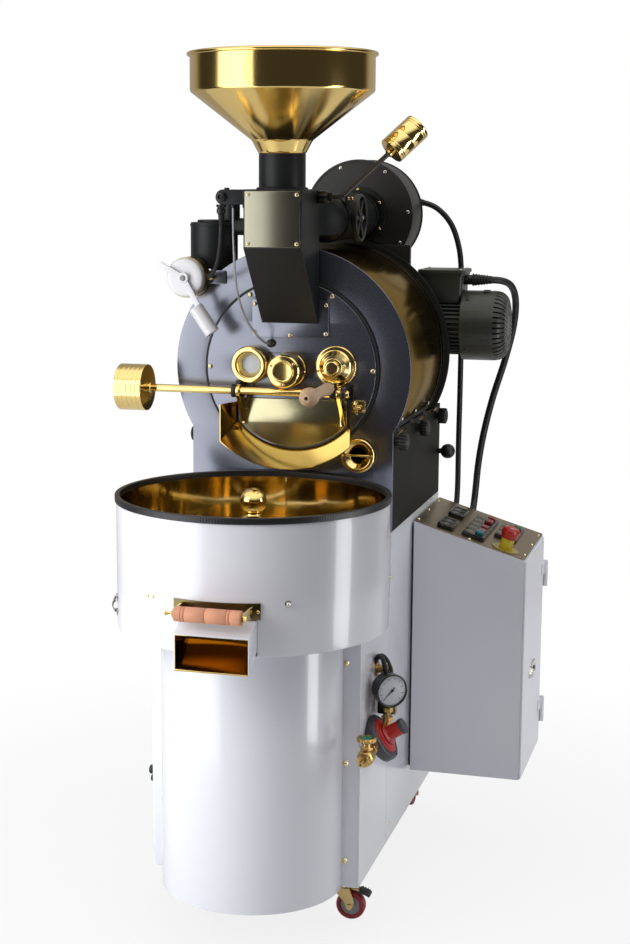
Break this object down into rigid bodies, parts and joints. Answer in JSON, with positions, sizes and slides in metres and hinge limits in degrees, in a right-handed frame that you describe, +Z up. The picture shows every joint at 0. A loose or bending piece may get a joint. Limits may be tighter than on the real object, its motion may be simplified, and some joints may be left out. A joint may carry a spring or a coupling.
{
  "type": "coffee_roaster",
  "caption": "Shop drum coffee roaster on castors with brass hopper, round cooling tray, weighted bean door, exhaust fan, gas train and control cabinet",
  "frame": {"origin": "middle of the underside of the bounding box, on the floor", "axes": "+Z up; -Y towards the operator at the cooling tray; +X to the side with the control cabinet"},
  "size_m": [0.8374, 1.25, 1.727],
  "materials": {
    "base_body": "smooth satin paint",
    "base_floor": "zinc plated",
    "front_shell": "smooth satin paint",
    "front_plate": "smooth satin paint",
    "front_disc": "smooth satin paint",
    "upper_frame": "smooth satin paint",
    "rear_plate": "smooth satin paint",
    "drum_jacket": "polished steel",
    "discharge_trough": "polished brass",
    "bearing_cap": "polished brass",
    "sight_port": "polished brass",
    "trier_port": "polished brass",
    "inspection_port": "polished brass",
    "charge_box": "smooth satin paint",
    "hopper": "polished brass",
    "exhaust_duct": "smooth satin paint",
    "fan_housing": "smooth satin paint",
    "lamp_base": "smooth satin paint",
    "gearbox": "smooth satin paint",
    "drive_motor": "smooth satin paint",
    "tray_shell": "smooth satin paint",
    "tray_trim": "black rubber",
    "tray_floor": "polished brass",
    "tray_gearbox": "smooth satin paint",
    "spout": "smooth satin paint",
    "control_cabinet": "smooth satin paint",
    "control_panel": "polished steel",
    "gas_pipework": "polished brass",
    "gas_regulator": "smooth satin paint",
    "lamp_cable": "black rubber",
    "probe_wire": "polished steel",
    "motor_cable": "black rubber",
    "fan_cable": "black rubber",
    "drum": "polished steel",
    "fan_impeller": "polished steel",
    "agitator": "polished brass",
    "door_shaft": "polished brass",
    "discharge_door": "polished brass",
    "door_handle": "turned wood",
    "charge_lever": "zinc plated",
    "charge_weight": "polished brass",
    "damper": "smooth satin paint",
    "trier": "polished brass",
    "gate_slide": "polished brass",
    "gate_roller": "turned wood",
    "cabinet_door": "smooth satin paint",
    "emergency_stop": "glossy plastic",
    "cap_teal": "glossy plastic",
    "cap_red_front": "glossy plastic",
    "cap_red_rear": "glossy plastic",
    "cap_green": "glossy plastic",
    "lamp_arm": "smooth satin paint",
    "valve_handle": "glossy plastic",
    "regulator_knob": "glossy plastic",
    "front_fork_left": "zinc plated",
    "front_fork_right": "zinc plated",
    "front_wheel_left": "red tyre",
    "front_wheel_right": "red tyre",
    "rear_wheel_left": "red tyre",
    "rear_wheel_right": "red tyre"
  },
  "bodies": {
    "machine": {"base_body": "base_body", "base_floor": "base_floor", "front_shell": "front_shell", "front_plate": "front_plate", "front_disc": "front_disc", "upper_frame": "upper_frame", "rear_plate": "rear_plate", "drum_jacket": "drum_jacket", "discharge_trough": "discharge_trough", "bearing_cap": "bearing_cap", "sight_port": "sight_port", "trier_port": "trier_port", "inspection_port": "inspection_port", "charge_box": "charge_box", "hopper": "hopper", "exhaust_duct": "exhaust_duct", "fan_housing": "fan_housing", "lamp_base": "lamp_base", "gearbox": "gearbox", "drive_motor": "drive_motor", "tray_shell": "tray_shell", "tray_trim": "tray_trim", "tray_floor": "tray_floor", "tray_gearbox": "tray_gearbox", "spout": "spout", "control_cabinet": "control_cabinet", "control_panel": "control_panel", "gas_pipework": "gas_pipework", "gas_regulator": "gas_regulator", "lamp_cable": "lamp_cable", "probe_wire": "probe_wire", "motor_cable": "motor_cable", "fan_cable": "fan_cable"},
    "roasting_drum": {"drum": "drum"},
    "exhaust_impeller": {"fan_impeller": "fan_impeller"},
    "cooling_stirrer": {"agitator": "agitator"},
    "bean_door": {"door_shaft": "door_shaft", "discharge_door": "discharge_door", "door_handle": "door_handle"},
    "charge_gate": {"charge_lever": "charge_lever", "charge_weight": "charge_weight"},
    "duct_damper": {"damper": "damper"},
    "sample_trier": {"trier": "trier"},
    "cooling_gate": {"gate_slide": "gate_slide"},
    "gate_grip": {"gate_roller": "gate_roller"},
    "service_door": {"cabinet_door": "cabinet_door"},
    "stop_button": {"emergency_stop": "emergency_stop"},
    "teal_button": {"cap_teal": "cap_teal"},
    "red_button_front": {"cap_red_front": "cap_red_front"},
    "red_button_rear": {"cap_red_rear": "cap_red_rear"},
    "green_button": {"cap_green": "cap_green"},
    "lamp_head": {"lamp_arm": "lamp_arm"},
    "gas_valve_handle": {"valve_handle": "valve_handle"},
    "pressure_knob": {"regulator_knob": "regulator_knob"},
    "left_swivel": {"front_fork_left": "front_fork_left"},
    "right_swivel": {"front_fork_right": "front_fork_right"},
    "left_front_wheel": {"front_wheel_left": "front_wheel_left"},
    "right_front_wheel": {"front_wheel_right": "front_wheel_right"},
    "left_rear_wheel": {"rear_wheel_left": "rear_wheel_left"},
    "right_rear_wheel": {"rear_wheel_right": "rear_wheel_right"}
  },
  "joints": [
    {"name": "drum_spin", "type": "hinge", "parent": "machine", "child": "roasting_drum", "pos_m": [-0.06065, 0.172, 1.093], "axis": [0, 1, 0], "continuous": true},
    {"name": "fan_spin", "type": "hinge", "parent": "machine", "child": "exhaust_impeller", "pos_m": [-0.02065, 0.452, 1.4], "axis": [0, 1, 0], "continuous": true},
    {"name": "stirrer_spin", "type": "hinge", "parent": "machine", "child": "cooling_stirrer", "pos_m": [-0.06065, -0.294, 0.768], "axis": [0, 0, 1], "continuous": true},
    {"name": "bean_door_swing", "type": "hinge", "parent": "machine", "child": "bean_door", "pos_m": [-0.05365, -0.073, 1.049], "axis": [-1, 0, 0], "range_deg": [0, 45]},
    {"name": "charge_gate_swing", "type": "hinge", "parent": "machine", "child": "charge_gate", "pos_m": [-0.06065, -0.042, 1.445], "axis": [1, 0, 0], "range_deg": [0, 68]},
    {"name": "damper_turn", "type": "hinge", "parent": "machine", "child": "duct_damper", "pos_m": [-0.02065, 0.122, 1.4], "axis": [1, 0, 0], "range_deg": [0, 90]},
    {"name": "trier_turn", "type": "hinge", "parent": "machine", "child": "sample_trier", "pos_m": [0.03735, -0.028, 1.101], "axis": [0, -1, 0], "range_deg": [0, 180]},
    {"name": "cooling_gate_pull", "type": "slide", "parent": "machine", "child": "cooling_gate", "axis": [0, -1, 0], "range_m": [0, 0.066]},
    {"name": "gate_grip_spin", "type": "hinge", "parent": "cooling_gate", "child": "gate_grip", "pos_m": [-0.04965, -0.611, 0.707], "axis": [1, 0, 0], "continuous": true},
    {"name": "service_door_swing", "type": "hinge", "parent": "machine", "child": "service_door", "pos_m": [0.41235, 0.49, 0.4], "axis": [0, 0, 1], "range_deg": [0, 110]},
    {"name": "emergency_stop_press", "type": "slide", "parent": "machine", "child": "stop_button", "axis": [-0.2898, 0, -0.9571], "range_m": [0, 0.005], "stiffness_N_per_m": 400, "springref_m": -0.002},
    {"name": "teal_press", "type": "slide", "parent": "machine", "child": "teal_button", "axis": [-0.2898, 0, -0.9571], "range_m": [0, 0.004], "stiffness_N_per_m": 400, "springref_m": -0.002},
    {"name": "red_front_press", "type": "slide", "parent": "machine", "child": "red_button_front", "axis": [-0.2898, 0, -0.9571], "range_m": [0, 0.004], "stiffness_N_per_m": 400, "springref_m": -0.002},
    {"name": "red_rear_press", "type": "slide", "parent": "machine", "child": "red_button_rear", "axis": [-0.2898, 0, -0.9571], "range_m": [0, 0.004], "stiffness_N_per_m": 400, "springref_m": -0.002},
    {"name": "green_press", "type": "slide", "parent": "machine", "child": "green_button", "axis": [-0.2898, 0, -0.9571], "range_m": [0, 0.004], "stiffness_N_per_m": 400, "springref_m": -0.002},
    {"name": "lamp_aim", "type": "hinge", "parent": "machine", "child": "lamp_head", "pos_m": [-0.27865, -0.088, 1.279], "axis": [0, 1, 0], "range_deg": [-45, 45]},
    {"name": "gas_valve_turn", "type": "hinge", "parent": "machine", "child": "gas_valve_handle", "pos_m": [0.17935, -0.328, 0.414], "axis": [0, 0, 1], "range_deg": [0, 90]},
    {"name": "pressure_turn", "type": "hinge", "parent": "machine", "child": "pressure_knob", "pos_m": [0.17935, -0.206, 0.374], "axis": [0.8387, 0, 0.5446], "range_deg": [-270, 270]},
    {"name": "left_swivel_turn", "type": "hinge", "parent": "machine", "child": "left_swivel", "pos_m": [-0.23265, -0.24, 0.07], "axis": [0, 0, 1], "continuous": true},
    {"name": "right_swivel_turn", "type": "hinge", "parent": "machine", "child": "right_swivel", "pos_m": [0.11135, -0.24, 0.07], "axis": [0, 0, 1], "continuous": true},
    {"name": "left_front_roll", "type": "hinge", "parent": "left_swivel", "child": "left_front_wheel", "pos_m": [-0.21265, -0.24, 0.03], "axis": [0, 1, 0], "continuous": true},
    {"name": "right_front_roll", "type": "hinge", "parent": "right_swivel", "child": "right_front_wheel", "pos_m": [0.13135, -0.24, 0.03], "axis": [0, 1, 0], "continuous": true},
    {"name": "left_rear_roll", "type": "hinge", "parent": "machine", "child": "left_rear_wheel", "pos_m": [-0.23265, 0.442, 0.03], "axis": [1, 0, 0], "continuous": true},
    {"name": "right_rear_roll", "type": "hinge", "parent": "machine", "child": "right_rear_wheel", "pos_m": [0.11135, 0.442, 0.03], "axis": [1, 0, 0], "continuous": true}
  ]
}
